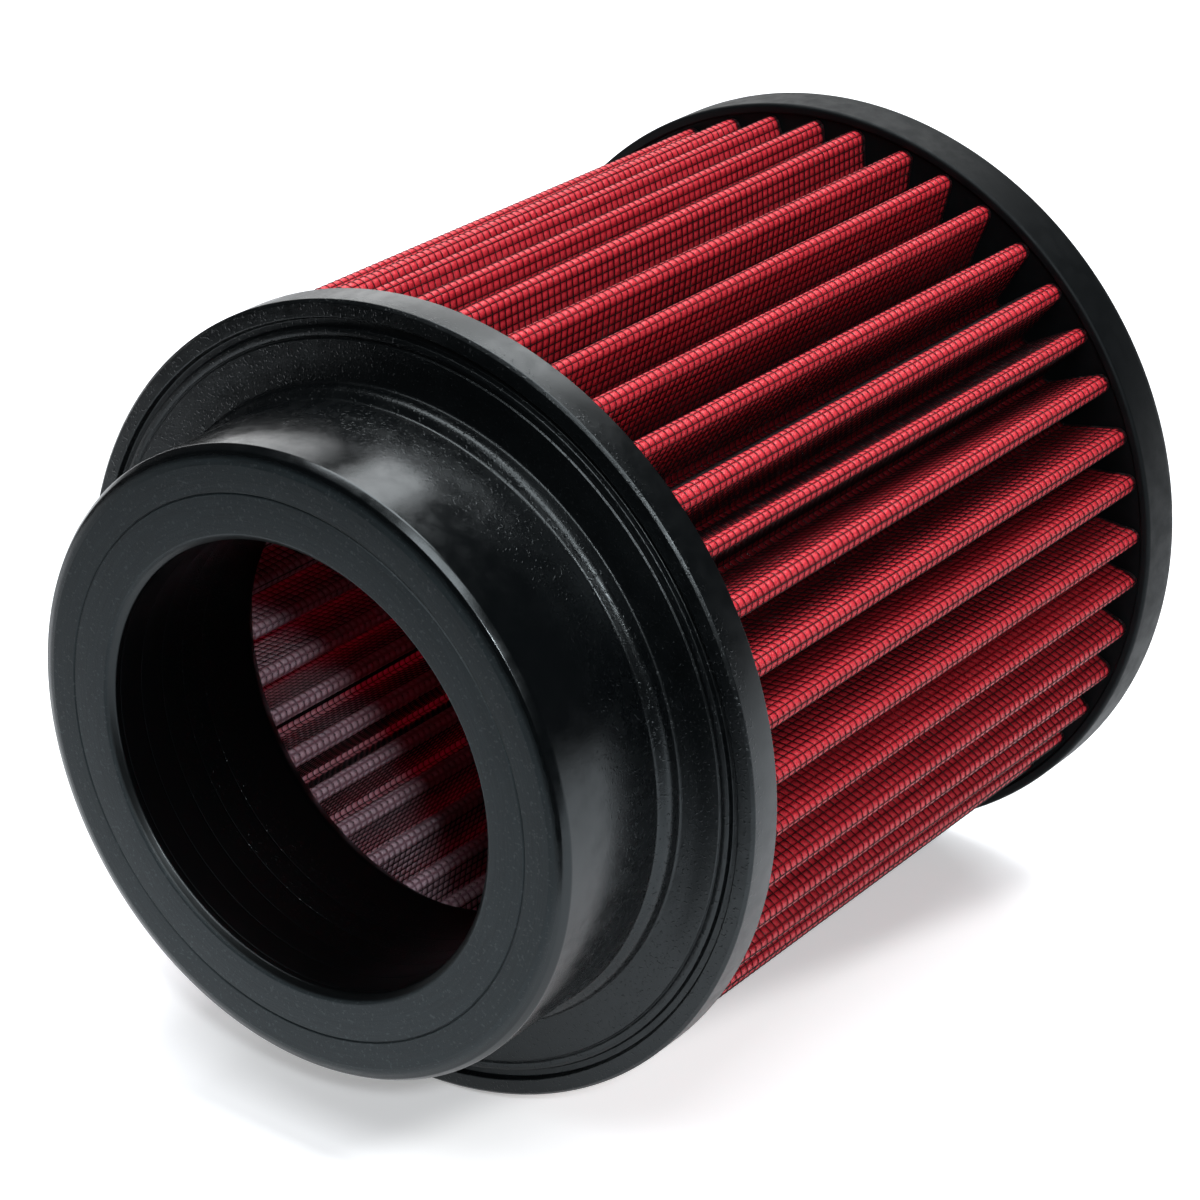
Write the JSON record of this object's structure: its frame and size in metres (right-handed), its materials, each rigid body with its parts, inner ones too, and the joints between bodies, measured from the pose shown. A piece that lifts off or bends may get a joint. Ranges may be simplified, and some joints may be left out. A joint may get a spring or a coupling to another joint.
{
  "type": "clamp-on pleated air filter",
  "caption": "Round straight air filter: red pleated gauze between wire screens, potted in a closed black end cap and a black neck that clamps over an intake pipe.",
  "frame": {"origin": "centre of the end cap's outer face, on which the filter stands", "axes": "+Z along the filter's axis towards the mouth of the neck; a pleat crest lies on +X"},
  "size_m": [0.1396, 0.1396, 0.159],
  "materials": {
    "moulding": "matte black moulded polyurethane, glossier on the side of the neck",
    "gauze": "oiled red cotton gauze",
    "wire": "dark epoxy-coated wire cloth"
  },
  "bodies": {
    "root": {"end_cap": "moulding", "inner_screen": "wire", "filter_media": "gauze", "outer_screen": "wire", "outlet_neck": "moulding"}
  },
  "joints": []
}
